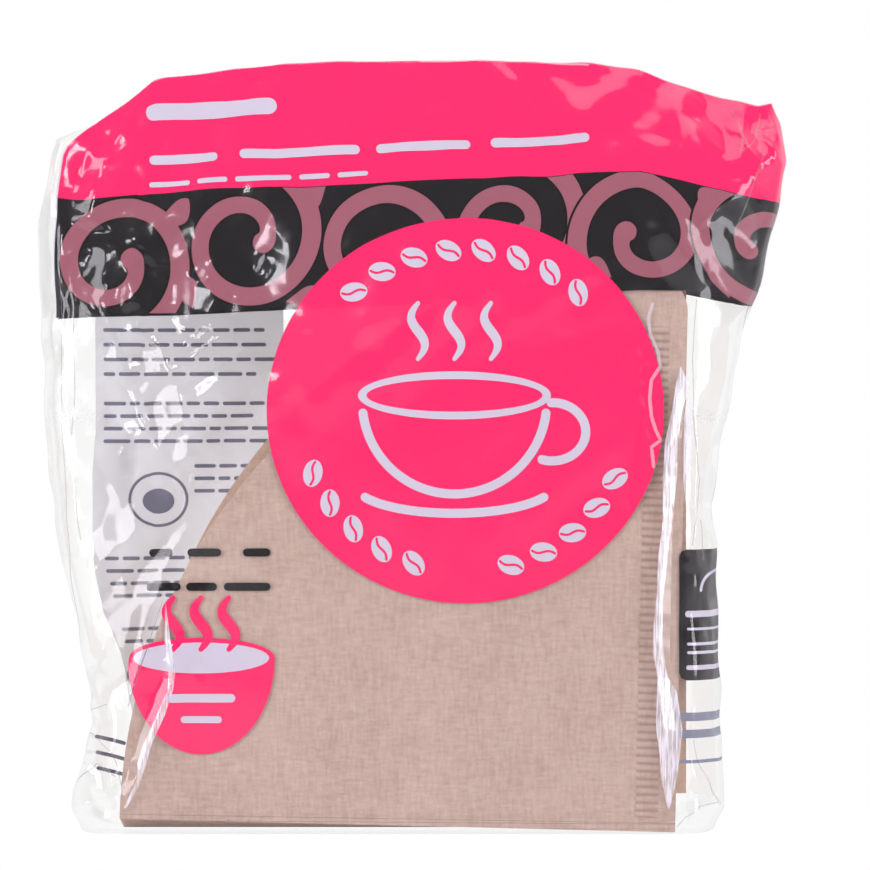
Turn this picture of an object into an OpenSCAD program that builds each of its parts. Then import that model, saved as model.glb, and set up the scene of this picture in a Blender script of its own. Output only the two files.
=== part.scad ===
/* [Filters] */
// Radius of a folded filter, from its tip to its rim
filter_r = 130; // [100:1:160]
// Filters in the pack, in two bundles of equal count
filter_count = 100; // [40:10:120]
// Thickness of one ply of the filter paper
ply_t = 0.14; // [0.1:0.01:0.2]
// Gap between the two plies of a folded filter
ply_gap = 0.03; // [0.02:0.01:0.05]
// Gap between one filter and the next
nest_gap = 0.03; // [0.02:0.01:0.05]
// Radius of the rounded corner where the seam meets the rim
tab_corner_r = 8; // [3:0.5:12]
// Width of paper left outside the crimped seam
seam_margin = 4; // [2:0.5:8]

/* [Crimped seam] */
// Width of the crimped band
crimp_w = 5.6; // [3:0.1:8]
// Distance from one crimp to the next
crimp_pitch = 1.83; // [1.4:0.01:3]
// Thickness of one crimp along the seam
crimp_bar = 1.05; // [0.6:0.05:1.2]
// Height of the crimps above the paper
crimp_rise = 0.12; // [0.05:0.01:0.2]
// Clear paper between the tip or the rim and the crimps
crimp_end = 4; // [2:0.5:12]

/* [How the filters lie] */
// Sideways slip of the rear bundle against the front one
slip_x = 3.4; // [0:0.1:5]
// Upward slip of the rear bundle against the front one
slip_z = 8; // [0:0.5:12]
// Tilt of the front filter about its tip, in degrees
front_tilt = 1.4; // [0:0.1:2]
// Steps in which the front bundle loses its tilt
tilt_steps = 4; // [1:1:6]

/* [Bag] */
// Thickness of the film
film_t = 0.06; // [0.04:0.01:0.12]
// Gap between the film and the filters
film_clear = 0.3; // [0.2:0.05:1]
// Film above the filters' rim, up to the top fold
head_room = 52; // [40:1:80]
// Drop of the top fold at the left end, below its highest point
left_drop = 19; // [5:1:25]
// Drop of the top fold at the right end, below its highest point
right_drop = 11; // [4:1:20]
// Half the thickness of the folded top
fold_half = 0.6; // [0.4:0.1:1.5]
// Rounding of the fold round the underside
foot_r = 0.6; // [0.3:0.1:0.6]
// Slack film at the left, beyond the filters' rim, at the narrowest place
left_slack = 7.4; // [5:0.1:15]
// Slack film at the right, beyond the filters' seam edge, at the narrowest place
right_slack = 9.6; // [8:0.1:15]
// How far the left shoulder of the bag spreads beyond that narrowest place
left_spread = 12.7; // [4:0.1:20]
// How far the right shoulder of the bag spreads beyond that narrowest place
right_spread = 18; // [4:0.1:24]

/* [Folds in the film] */
// Height of the pleat that runs up the bag beside the seam edge
pleat_rise = 1.8; // [0.5:0.1:3]
// Width of the pleat's slope towards the seam edge
pleat_fall = 3.2; // [1.5:0.1:4]
// Width of the pleat's slope towards the middle of the bag
pleat_lead = 8; // [4:0.5:14]
// Height of the other folds
fold_rise = 2.2; // [0.3:0.1:3]
// Width of the slopes of the other folds
fold_w = 7; // [5:0.5:12]
// Height of the small crumples where the film is slack
crumple = 1.3; // [0:0.1:1.6]
// Number that sets the pattern of the crumples
crumple_seed = 7; // [1:1:99]

/* [Hidden] */

film_colour = [0.93, 0.94, 0.95, 0.35];
front_colour = [0.82, 0.70, 0.66];
bundle_colour = [0.78, 0.66, 0.61];

// One filter takes this much of the stack's depth
pitch = 2 * ply_t + ply_gap + nest_gap;
filter_t = 2 * ply_t + ply_gap;
stack_half = (filter_count * pitch - nest_gap) / 2;
bundle_count = filter_count / 2;
// Paper that joins the two plies along the fold
fold_web = 0.6;
// Half the depth of the bag where it lies on the filters
bag_half = stack_half + crimp_rise + film_clear + film_t;
bag_h = filter_r + head_room + film_t + film_clear;

// Outlines of the bag's sides: share of the side's height, and how far the film
// stands out there, where 0 is the narrowest place and 1 the shoulder
left_side = [[0, 0.2], [0.025, 0.38], [0.05, 0.35], [0.13, 0.1], [0.153, 0], [0.23, 0.1],
             [0.31, 0.3], [0.39, 0.59], [0.47, 0.74], [0.6, 0.89], [0.8, 1], [0.88, 1],
             [0.97, 0.8], [1, 0.65]];
right_side = [[0, 0], [0.009, 0.02], [0.022, 0.15], [0.046, 0.16], [0.1, 0.13], [0.21, 0.1],
              [0.4, 0.06], [0.445, 0], [0.54, 0.14], [0.68, 0.38], [0.755, 0.64],
              [0.86, 0.9], [0.92, 1], [0.975, 0.9], [1, 0.78]];
// Outline of the top fold: share of its width, and share of the drop at that end
top_left = [[0, 1], [0.05, 0.83], [0.14, 0.24], [0.32, 0.04], [0.54, 0]];
top_right = [[0.54, 0], [0.74, 0.06], [0.81, 0.23], [0.895, 0.65], [0.978, 1], [1, 0.94]];

// The filters' tip, where the fold and the seam meet
tip_x = filter_r / 2;
tip_z = film_t + film_clear;
// The edge of the paper at its furthest, with the slip and the tilt of the bundles
seam_x = tip_x + max(slip_x, filter_r * sin(front_tilt)) + film_clear;
left_x = tip_x - filter_r - left_slack;
right_x = tip_x + right_slack;
// The bag is full this far past the rim, so that its facets stay clear of the paper
rim_margin = 4;
// Columns of facets from the left side to the pleat, across it, and right of the seam edge
cols_left = 28;
cols_pleat = 3;
cols_right = 6;
cols = cols_left + cols_pleat + cols_right;
rows = 32;
around = 2 * cols;
// How strongly the columns crowd towards the left side
crowding = 0.6;
// Roundness of the film's sections, towards its sides and towards its top
side_curve = 1.5;
top_curve = 1.4;
// The crumples grow to their full height over this distance from the paper
slack_run = 8;
// Facets over which folds and crumples fade: at the foot, at the top and at the sides
fade_foot = 3;
fade_top = 2;
fade_side = 2;
// The lowest rows follow the fold round the underside
foot_rows = [0, foot_r / bag_h, 0.012, 0.022];

// Where the pleat's slope ends left of the seam edge: share of the filters' radius, distance
pleat_in = [[0.05, 2.1], [0.11, 3.9], [0.18, 3.3], [0.28, 4.9], [0.4, 4.5], [0.54, 4.1],
            [0.65, 3.3], [0.74, 1.4], [0.82, 0.8]];
// Share of its height that the pleat has there
pleat_share = [[0.02, 0], [0.1, 1], [0.77, 1], [0.9, 0]];

// Other folds on the front: the slopes' widths as shares of fold_w, left and right, and
// the path in shares across and up the bag
front_folds = [
    [0.8, 1.8, [[0.137, 1], [0.085, 0.92], [0.075, 0.84]]],
    [1, 1, [[0.823, 0.91], [0.838, 0.83], [0.923, 0.73]]],
    [0.8, 0.8, [[0.93, 0.96], [0.97, 0.9]]],
    [0.8, 1.2, [[0.144, 0.26], [0.142, 0.2], [0.115, 0.16], [0.087, 0.04]]],
    [0.8, 1, [[0.18, 0.6], [0.28, 0.66]]],
    [1, 1, [[0.1, 0.82], [0.13, 0.74], [0.18, 0.63], [0.23, 0.51]]],
    [1, 1, [[0, 0.92], [0.03, 0.73], [0.04, 0.51], [0.06, 0.33]]],
    [0.8, 0.8, [[0, 0.03], [0.05, 0.05], [0.09, 0.05]]],
    [0.8, 0.8, [[0, 0.08], [0.05, 0.12]]]];
back_folds = [
    [1, 1, [[0.8, 0.84], [0.62, 0.72], [0.34, 0.64]]],
    [0.8, 1.4, [[0.13, 0.95], [0.08, 0.8], [0.06, 0.6]]],
    [1, 1, [[0.06, 0.5], [0.12, 0.3], [0.1, 0.06]]]];

function lerp(a, b, t) = a + (b - a) * t;
function reach(table, s) = lookup(s, table);
function within(t, low, high) = min(max(t, low), high);

function left_at(v) = left_x - left_spread * reach(left_side, v);
function right_at(v) = right_x + right_spread * reach(right_side, v);
function top_at(s) = bag_h - (s < 0.54 ? left_drop * reach(top_left, s)
                                       : right_drop * reach(top_right, s));

// Columns are closer together towards the sides of the bag
function ease(t) = lerp(t, 1 - cos(90 * t), crowding);
function pleat_x(z) = seam_x - pleat_fall - reach(pleat_in, z / filter_r);
function col_x(i, v, z) =
    let (a = left_at(v), b = right_at(v), peak = pleat_x(z))
    i <= cols_left ? lerp(a, peak - pleat_lead, ease(i / cols_left))
    : i == cols_left + 1 ? peak
    : i == cols_left + 2 ? peak + pleat_fall
    : lerp(seam_x, b, sin(90 * (i - cols_left - cols_pleat) / cols_right));
function row_v(j) = j < len(foot_rows) ? foot_rows[j]
    : lerp(foot_rows[len(foot_rows) - 1], 1, (j - len(foot_rows) + 1) / (rows - len(foot_rows) + 1));

// Distance past the rim of the front bundle or of the slipped rear bundle
function past_rim(x, z) = max(0, min(norm([min(x - tip_x, 0), z - tip_z]),
    norm([min(x - tip_x - slip_x, 0), z - tip_z - slip_z])) - filter_r - rim_margin);

// Half the depth of the bag: full over the filters, and closing towards the edges
function half_depth(x, z, a, b, top) =
    let (rim = past_rim(x, z), off = max(rim, x - seam_x, 0),
         side = max(min(x - a, b - x), 0.001), up = max(top - z, 0),
         to_side = sqrt(1 - pow(off / (side + off), side_curve)),
         to_top = 1 - pow(rim / max(up + rim, 0.001), top_curve))
    fold_half + (bag_half - fold_half) * min(to_side, to_top);

// The pleat rises to its peak and falls steeply towards the seam edge
function pleat_at(x, z) =
    let (off = x - pleat_x(z), run = off < 0 ? pleat_lead : pleat_fall)
    pleat_rise * reach(pleat_share, z / filter_r) * max(0, 1 - abs(off) / run);

// A place on the bag from its shares across and up
function place(share) =
    let (a = left_at(share[1]), b = right_at(share[1]))
    [lerp(a, b, share[0]), share[1] * top_at(share[0])];

// Height of a fold at a point: it peaks along its path and falls away to both sides
function fold_at(point, path, left, right) = fold_rise * max([for (k = [0:len(path) - 2])
    let (start = path[k], way = path[k + 1] - start,
         off = point - start - way * within((point - start) * way / (way * way), 0, 1))
    max(0, 1 - norm(off) / (fold_w * (off[0] < 0 ? left : right)))]);

folds = [for (side = [front_folds, back_folds])
    [for (fold = side) [fold[0], fold[1], [for (share = fold[2]) place(share)]]]];
noise = rands(-1, 1, 2 * (rows + 1) * (cols + 1), crumple_seed);

// How far the folds and the crumples lift the film
function lift(i, j, x, z, face) =
    let (side = face < 0 ? 0 : 1, slack = within(max(past_rim(x, z), x - seam_x) / slack_run, 0, 1),
         n = noise[(side * (rows + 1) + j) * (cols + 1) + i],
         edge = within(min(j / fade_foot, (rows - j) / fade_top, min(i, cols - i) / fade_side), 0, 1))
    edge * (crumple * n * slack + max([for (fold = folds[side])
        fold_at([x, z], fold[2], fold[0], fold[1])]));

// A point of the outer skin at column i and row j; face is -1 in front and 1 behind
function skin_point(i, j, face) =
    let (v = row_v(j), a = left_at(v), b = right_at(v),
         rough_z = v * bag_h, x = col_x(i, v, rough_z), top = top_at((x - a) / (b - a)), z = top * v,
         full = half_depth(x, z, a, b, top) + pleat_at(x, z) + lift(i, j, x, z, face),
         foot = j == 0 ? 1 - foot_r / bag_half : 1)
    [x, face * foot * max(full, fold_half), z];

outer = [for (j = [0:rows]) concat(
    [skin_point(0, j, 0)],
    [for (i = [1:cols - 1]) skin_point(i, j, -1)],
    [skin_point(cols, j, 0)],
    [for (i = [cols - 1:-1:1]) skin_point(i, j, 1)])];

// The inner skin lies one thickness of film inside the outer one
inner = [for (j = [0:rows]) [for (i = [0:around - 1])
    let (across = outer[j][(i + 1) % around] - outer[j][(i + around - 1) % around],
         up = outer[min(j + 1, rows)][i] - outer[max(j - 1, 0)][i],
         out = cross(across, up), p = outer[j][i] - film_t * out / norm(out))
    [p[0], p[1], j == 0 ? film_t : j == rows ? outer[j][i][2] - film_t : p[2]]]];

module skin(rings) {
    walls = [for (j = [0:rows - 1], i = [0:around - 1])
        let (p = j * around + i, q = j * around + (i + 1) % around)
        each [[p, p + around, q + around], [p, q + around, q]]];
    floor_face = [[for (i = [0:around - 1]) i]];
    last = rows * around;
    lid = [for (i = [0:cols - 1])
        let (f = last + i, g = last + i + 1, h = last + (around - i - 1), k = last + (around - i) % around)
        each i == 0 ? [[f, h, g]] : i == cols - 1 ? [[f, k, g]] : [[f, h, g], [f, k, h]]];
    polyhedron(points = [for (ring = rings) each ring], faces = concat(walls, floor_face, lid),
               convexity = 6);
}

// The box of the bag is centred on the origin
shift_x = -(min([for (j = [0:rows]) left_at(row_v(j))])
          + max([for (j = [0:rows]) right_at(row_v(j))])) / 2;

module bag() {
    color(film_colour) translate([shift_x, 0, 0]) difference() {
        skin(outer);
        skin(inner);
    }
}

// Outline of a folded filter in its own plane: the tip at the origin, the fold
// along -X, the seam edge along +Y
module filter_outline() {
    corner_x = -tab_corner_r;
    corner_y = sqrt(pow(filter_r - tab_corner_r, 2) - pow(corner_x, 2));
    out = filter_r * 1.2;
    difference() {
        intersection() {
            circle(r = filter_r, $fn = 180);
            translate([-filter_r, 0]) square(filter_r);
        }
        polygon([[corner_x, corner_y], [out, corner_y], [out, out], [corner_x / corner_y * out, out]]);
    }
    translate([corner_x, corner_y]) circle(r = tab_corner_r, $fn = 48);
}

// The space between the plies, open at the rim and closed by the fold and the seam
module pocket_outline() {
    seam_in = seam_margin + crimp_w;
    translate([-filter_r * 2, fold_web]) square([filter_r * 2 - seam_in, filter_r * 2]);
}

// A folded filter stands in the XZ plane, its front ply at y = 0
module filter_sheet() {
    rotate([90, 0, 0]) mirror([0, 0, 1]) difference() {
        linear_extrude(filter_t) filter_outline();
        translate([0, 0, ply_t]) linear_extrude(ply_gap) pocket_outline();
    }
}

module crimp() {
    for (x = [crimp_bar / 2, crimp_w - crimp_bar / 2])
        translate([-seam_margin - x, 0]) circle(d = crimp_bar, $fn = 16);
    translate([-seam_margin - crimp_w + crimp_bar / 2, -crimp_bar / 2])
        square([crimp_w - crimp_bar, crimp_bar]);
}

// The crimps that press the two plies together along the seam
module crimps() {
    count = floor((filter_r - tab_corner_r - 2 * crimp_end) / crimp_pitch);
    rotate([90, 0, 0]) linear_extrude(crimp_rise)
        for (k = [0:count]) translate([0, crimp_end + k * crimp_pitch]) crimp();
}

// Where filter number k of the pack lies, counted from the front
module lay(k) {
    front = k < bundle_count;
    step = ceil(tilt_steps * (1 - (k + 1) / bundle_count));
    tilt = front ? front_tilt * step / tilt_steps : 0;
    translate([shift_x + tip_x + (front ? 0 : slip_x), -stack_half + k * pitch,
               tip_z + (front ? 0 : slip_z)])
        rotate([0, tilt, 0]) children();
}

module front_filter() {
    color(front_colour) lay(0) {
        filter_sheet();
        crimps();
    }
}

module front_bundle() {
    color(bundle_colour) for (k = [1:bundle_count - 1]) lay(k) filter_sheet();
}

module rear_bundle() {
    color(bundle_colour) for (k = [bundle_count:filter_count - 2]) lay(k) filter_sheet();
}

module back_filter() {
    color(front_colour) lay(filter_count - 1) {
        filter_sheet();
        translate([0, filter_t, 0]) mirror([0, 1, 0]) crimps();
    }
}

bag();
front_filter();
front_bundle();
rear_bundle();
back_filter();
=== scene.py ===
import bpy
import numpy as np
from mathutils.geometry import delaunay_2d_cdt
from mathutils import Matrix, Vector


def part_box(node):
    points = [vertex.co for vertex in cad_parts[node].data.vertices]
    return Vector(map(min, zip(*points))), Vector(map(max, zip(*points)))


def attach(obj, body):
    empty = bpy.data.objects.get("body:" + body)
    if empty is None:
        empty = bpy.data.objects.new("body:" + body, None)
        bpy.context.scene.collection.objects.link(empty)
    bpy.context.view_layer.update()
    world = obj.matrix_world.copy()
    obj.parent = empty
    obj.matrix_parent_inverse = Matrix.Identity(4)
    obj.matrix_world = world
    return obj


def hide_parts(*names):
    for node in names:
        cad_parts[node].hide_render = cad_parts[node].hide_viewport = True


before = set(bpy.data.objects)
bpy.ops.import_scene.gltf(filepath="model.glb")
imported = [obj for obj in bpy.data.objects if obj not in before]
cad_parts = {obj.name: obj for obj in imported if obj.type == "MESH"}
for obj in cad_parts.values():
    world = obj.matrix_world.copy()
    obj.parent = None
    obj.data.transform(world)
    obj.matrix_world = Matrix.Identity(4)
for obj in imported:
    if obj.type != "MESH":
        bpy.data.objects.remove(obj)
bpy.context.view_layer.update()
bpy.ops.object.select_all(action="DESELECT")


# Filter paper: unbleached creped paper of a warm tan, each filter folded from one sheet and crimped
# along its seam. Short upright fibres and a faint cross weave break up its colour.
class Wire:
    """A shader socket, so that sums on it are written as Python expressions."""

    def __init__(self, tree, socket=None):
        self.tree, self.socket = tree, socket

    def make(self, kind, output=0, sets=None, **values):
        """Adds a node of that kind: sets go on the node, and values or links on its sockets."""
        node = self.tree.nodes.new("ShaderNode" + kind)
        for key, value in (sets or {}).items():
            if key != "stops":
                setattr(node, key, value)
                continue
            while len(node.color_ramp.elements) < len(value):
                node.color_ramp.elements.new(0.5)
            for element, (place, tone) in zip(node.color_ramp.elements, value):
                element.position, element.color = place, (tone, tone, tone, 1)
        for key, value in values.items():
            socket = node.inputs[int(key[1:]) if key[1:].isdigit() else key.replace("_", " ")]
            if isinstance(value, Wire):
                self.tree.links.new(value.socket, socket)
            elif socket.type == "RGBA":
                socket.default_value = (*value, 1)
            else:
                socket.default_value = value
        return Wire(self.tree, node.outputs[output] if node.outputs else None)

    def sum(self, operation, first, second):
        return self.make("Math", sets={"operation": operation}, i0=first, i1=second)

    def __add__(self, other):
        return self.sum("ADD", self, other)

    def __radd__(self, other):
        return self.sum("ADD", other, self)

    def __sub__(self, other):
        return self.sum("SUBTRACT", self, other)

    def __rsub__(self, other):
        return self.sum("SUBTRACT", other, self)

    def __mul__(self, other):
        return self.sum("MULTIPLY", self, other)

    def near(self, middle, half, soft):
        """1 where this value is near the middle one, with a soft edge to 0 at half the width away."""
        off = self.make("Math", sets={"operation": "ABSOLUTE"}, i0=self - middle)
        return self.make("Math", sets={"operation": "MULTIPLY", "use_clamp": True},
                         i0=half - off, i1=1 / soft)

    def tint(self, first, second):
        """A colour between two, at this socket's value."""
        return self.make("Mix", 2, sets={"data_type": "RGBA"}, i0=self, i6=first, i7=second)


def new_material(name):
    material = bpy.data.materials.new(name)
    material.use_nodes = True
    material.node_tree.nodes.clear()
    return material, Wire(material.node_tree)


def linear(*levels):
    """A colour given in screen levels of 0 to 255, as linear light."""
    shares = [level / 255 for level in levels]
    return tuple(s / 12.92 if s < 0.04045 else ((s + 0.055) / 1.055) ** 2.4 for s in shares)


def filter_paper(name, dark, light, corner=None, tilt=0.0, edges=()):
    """Creped paper. With a corner given, crimps are pressed along the seam that rises from it, with painted
    shade in the grooves between them.
    Each of the edges is the height and lean of a lower edge of a filter that shows under this one, drawn as a
    darker line of painted shade."""
    material, wire = new_material(name)
    place = wire.make("TexCoord", 3)

    def fibres(along_x, along_z, detail):
        stretched = wire.make("Mapping", Vector=place, Scale=(along_x, 200, along_z))
        return wire.make("TexNoise", Vector=stretched, Scale=1.0, Detail=detail, Roughness=0.6)

    upright = fibres(1400, 260, 3.0)
    across = fibres(330, 1500, 2.0)
    cloudy = fibres(80, 60, 4.0)
    tone = upright * 0.45 + across * 0.4 + cloudy * 0.25
    spread = wire.make("ValToRGB", sets={"stops": [(0.38, 0.0), (0.72, 1.0)]}, Fac=tone)
    colour = spread.tint(linear(*dark), linear(*light))
    height = upright * 0.5 + across * 0.5
    if corner:
        turn, crimp_pitch, first_crimp = np.radians(tilt), 0.00183, 0.004
        band_inward, band_half_width = -0.0068, 0.0029
        band_upward, band_half_length = 0.0607, 0.0576
        soft_edge = 0.0004
        x = wire.make("SeparateXYZ", 0, i0=place) - corner[0]
        z = wire.make("SeparateXYZ", 2, i0=place) - corner[1]
        inward = x * np.cos(turn) - z * np.sin(turn)
        upward = x * np.sin(turn) + z * np.cos(turn)
        band = (inward.near(band_inward, band_half_width, soft_edge)
                * upward.near(band_upward, band_half_length, soft_edge))
        ridge = wire.make("Math", sets={"operation": "COSINE"},
                          i0=(upward - first_crimp) * (2 * np.pi / crimp_pitch))
        # Painted shade: the grooves between the crimps are darkened in colour, on top of their bump.
        painted_groove_shade = wire.make("Math", sets={"operation": "MULTIPLY", "use_clamp": True},
                           i0=0.15 - ridge, i1=0.9)
        colour = (painted_groove_shade * band * 0.5).tint(colour, linear(142, 108, 96))
        # Painted shade: a darker line along each lower filter's edge.
        for level, lean in edges:
            line = (z - x * lean).near(level, 0.00012, 0.0001)
            colour = (line * 0.6).tint(colour, linear(128, 104, 94))
        height = height + ridge * band * 1.5
    bump = wire.make("Bump", Height=height, Strength=0.4, Distance=0.00015)
    shader = wire.make("BsdfPrincipled", Base_Color=colour, Roughness=0.9, Normal=bump)
    wire.make("OutputMaterial", Surface=shader)
    return material


mm = 0.001
# The slip of the rear bundle to the right and upwards, and the tilt of the front filter in degrees
slip = np.array([3.4, 8.0])
front_tilt = 1.4
front_corner = (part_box("back_filter")[1][0] - slip[0] * mm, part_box("front_filter")[0][2])
rear_corner = (front_corner[0] + slip[0] * mm, front_corner[1] + slip[1] * mm)
# Height and lean of each lower edge that shows under the front filter's crimped corner, where a line of
# painted shade is drawn
painted_edge_shade_lines = [(0.0021, -0.0164), (0.0019, -0.0073), (0.0008, 0.0)]
plain_tones = (175, 147, 138), (202, 175, 166)
# Painted light: the rear bundle is the same paper, painted in lighter tones.
lit_rim_tones = (196, 164, 146), (222, 193, 176)
papers = {"front_filter": filter_paper("crimped_paper", *plain_tones, front_corner, front_tilt, painted_edge_shade_lines),
          "front_bundle": filter_paper("filter_paper", *plain_tones),
          "rear_bundle": filter_paper("lit_rim_paper", *lit_rim_tones),
          "back_filter": filter_paper("rear_crimped_paper", *plain_tones, rear_corner)}
for node, paper in papers.items():
    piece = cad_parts[node]
    piece.data.materials.clear()
    piece.data.materials.append(paper)


# Bag: one tube of thin clear film, folded flat at the top and square at the base. It is slack round
# the filters, so it puckers at its sides, along its folds and above the filters' rim.
front_low = np.array(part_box("front_filter")[0]) / mm
rear_high = np.array(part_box("back_filter")[1]) / mm
filter_r = 130.0
tip = np.array([rear_high[0] - slip[0], front_low[2]])
film_clear = 0.3
seam_x = rear_high[0] + film_clear
bag_half = -front_low[1] + 0.36
bag_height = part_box("bag")[1][2] / mm
fold_half = 0.6
left_slack, right_slack = 7.4, 9.6
left_reach = tip[0] - filter_r - left_slack
right_reach = tip[0] + right_slack
left_spread, right_spread = 12.7, 18.0
left_drop, right_drop = 19.0, 11.0
# Share of each side's spread at shares of the height, and the top edge's drop at shares of the width
left_side = [(0, 0.2), (0.025, 0.38), (0.05, 0.35), (0.13, 0.1), (0.153, 0), (0.23, 0.1),
             (0.31, 0.3), (0.39, 0.59), (0.47, 0.74), (0.6, 0.89), (0.8, 1), (0.88, 1),
             (0.97, 0.8), (1, 0.65)]
right_side = [(0, 0), (0.009, 0.02), (0.022, 0.15), (0.046, 0.16), (0.1, 0.13), (0.21, 0.1),
              (0.4, 0.06), (0.445, 0), (0.54, 0.14), (0.68, 0.38), (0.755, 0.64),
              (0.86, 0.9), (0.92, 1), (0.975, 0.9), (1, 0.78)]
top_edge = [(0, left_drop), (0.05, 0.83 * left_drop), (0.14, 0.24 * left_drop), (0.32, 0.04 * left_drop),
            (0.54, 0), (0.74, 0.06 * right_drop), (0.81, 0.23 * right_drop),
            (0.895, 0.65 * right_drop), (0.978, right_drop), (1, 0.94 * right_drop)]
# Columns and rows of each sheet while it puckers, and how many times finer it then becomes
film_cols, film_rows = 70, 72
fine = 3
# The pleat beside the seam edge, from its top to the foot, with a long slope on its left
pleat = [(63.5, 112), (61.5, 104), (60.5, 96), (58.6, 84), (57.8, 70), (57.4, 52), (57.0, 36), (58.6, 24),
         (58.0, 14), (59.8, 6.5)]


def along(table, share):
    places, values = np.array(table).T
    return np.interp(share, places, values)


def left_at(v):
    return left_reach - left_spread * along(left_side, v)


def right_at(v):
    return right_reach + right_spread * along(right_side, v)


def share_across(x, v):
    return (x - left_at(v)) / (right_at(v) - left_at(v))


def top_at(share):
    return bag_height - along(top_edge, share)


def eased(u):
    """Shares across the bag, closer together near both sides."""
    return 0.65 * u + 0.35 * (1 - np.cos(np.pi * u)) / 2


def flat_point(u, v):
    """Where a point of the film at shares u and v lies, seen from the front."""
    x = left_at(v) + (right_at(v) - left_at(v)) * eased(u)
    return x, v * top_at(share_across(x, v))


def from_tip(x, z, corner):
    """Distance from the tip of the filters, or the height above it where a place lies to its right."""
    return np.hypot(np.minimum(x - corner[0], 0), z - corner[1])


def half_depth(x, z, v):
    """Half the depth of the bag: full over the filters, closing towards its edges."""
    low, high = left_at(v), right_at(v)
    reach = np.minimum(from_tip(x, z, tip), from_tip(x, z, tip + slip))
    rim = np.maximum(reach - filter_r - 2.0, 0)
    off = np.maximum(np.maximum(rim, x - seam_x), 0)
    side = np.maximum(np.minimum(x - low, high - x), 0)
    up = np.maximum(top_at(share_across(x, v)) - z, 0)
    to_side = np.sqrt(1 - (off / (side + off + 1e-9)) ** 1.5)
    to_top = 1 - (rim / (up + rim + 1e-9)) ** 1.4
    return fold_half + (bag_half - fold_half) * np.minimum(to_side, to_top)


def nearest_on(x, z, path):
    """Distance from a path, how far to the right of it a place is, and the share along the path."""
    lengths = [np.hypot(b[0] - a[0], b[1] - a[1]) for a, b in zip(path, path[1:])]
    nearest = np.full(x.shape, 1e9)
    right, run = np.zeros(x.shape), np.zeros(x.shape)
    for k, ((x0, z0), (x1, z1)) in enumerate(zip(path, path[1:])):
        share = np.clip(((x - x0) * (x1 - x0) + (z - z0) * (z1 - z0)) / lengths[k] ** 2, 0, 1)
        off_x, off_z = x - x0 - share * (x1 - x0), z - z0 - share * (z1 - z0)
        gap = np.hypot(off_x, off_z)
        closer = gap < nearest
        right = np.where(closer, off_x, right)
        run = np.where(closer, (sum(lengths[:k]) + share * lengths[k]) / sum(lengths), run)
        nearest = np.minimum(nearest, gap)
    return nearest, right, run


def flat_film():
    """Front and back sheets of the bag before it puckers, as grids of points in millimetres."""
    v, u = np.meshgrid(np.linspace(0, 1, film_rows + 1), np.linspace(0, 1, film_cols + 1), indexing="ij")
    x, z = flat_point(u, v)
    depth = half_depth(x, z, v)
    depth[:, 0] = depth[:, -1] = 0
    foot = np.clip(z / 2.0, 0, 1)
    depth -= fold_half * (1 - foot) ** 2
    depth = np.maximum(depth, 0)
    return np.stack([x, -depth, z], -1), np.stack([x, depth, z], -1)


def wall_faces(rows, cols):
    """Quads of a tube whose rings run across the front and back again."""
    around = 2 * cols
    return [(j * around + i, j * around + (i + 1) % around,
             (j + 1) * around + (i + 1) % around, (j + 1) * around + i)
            for j in range(rows) for i in range(around)]


def tube_points(front, back):
    return np.concatenate([front, back[:, -2:0:-1]], 1).reshape(-1, 3)


def sheets_of(points, rows, cols):
    ring = points.reshape(rows + 1, 2 * cols, 3)
    back = np.concatenate([ring[:, :1], ring[:, :cols - 1:-1]], 1)
    return ring[:, :cols + 1].copy(), back


def mesh_object(name, points, faces):
    mesh = bpy.data.meshes.new(name)
    mesh.from_pydata([tuple(p) for p in points], [], faces)
    piece = bpy.data.objects.new(name, mesh)
    bpy.context.collection.objects.link(piece)
    return piece


def ripple(points, chance, count, shortest, longest):
    """A smooth random swell over the film, the sum of plane waves of chosen lengths."""
    swell = np.zeros(len(points))
    for _ in range(count):
        way = chance.normal(0, 1, 3) * (1, 0.6, 1)
        way /= np.linalg.norm(way)
        length = chance.uniform(shortest, longest)
        swell += np.sin(points @ way * 2 * np.pi / length + chance.uniform(0, 2 * np.pi))
    return swell / np.sqrt(count)


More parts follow.
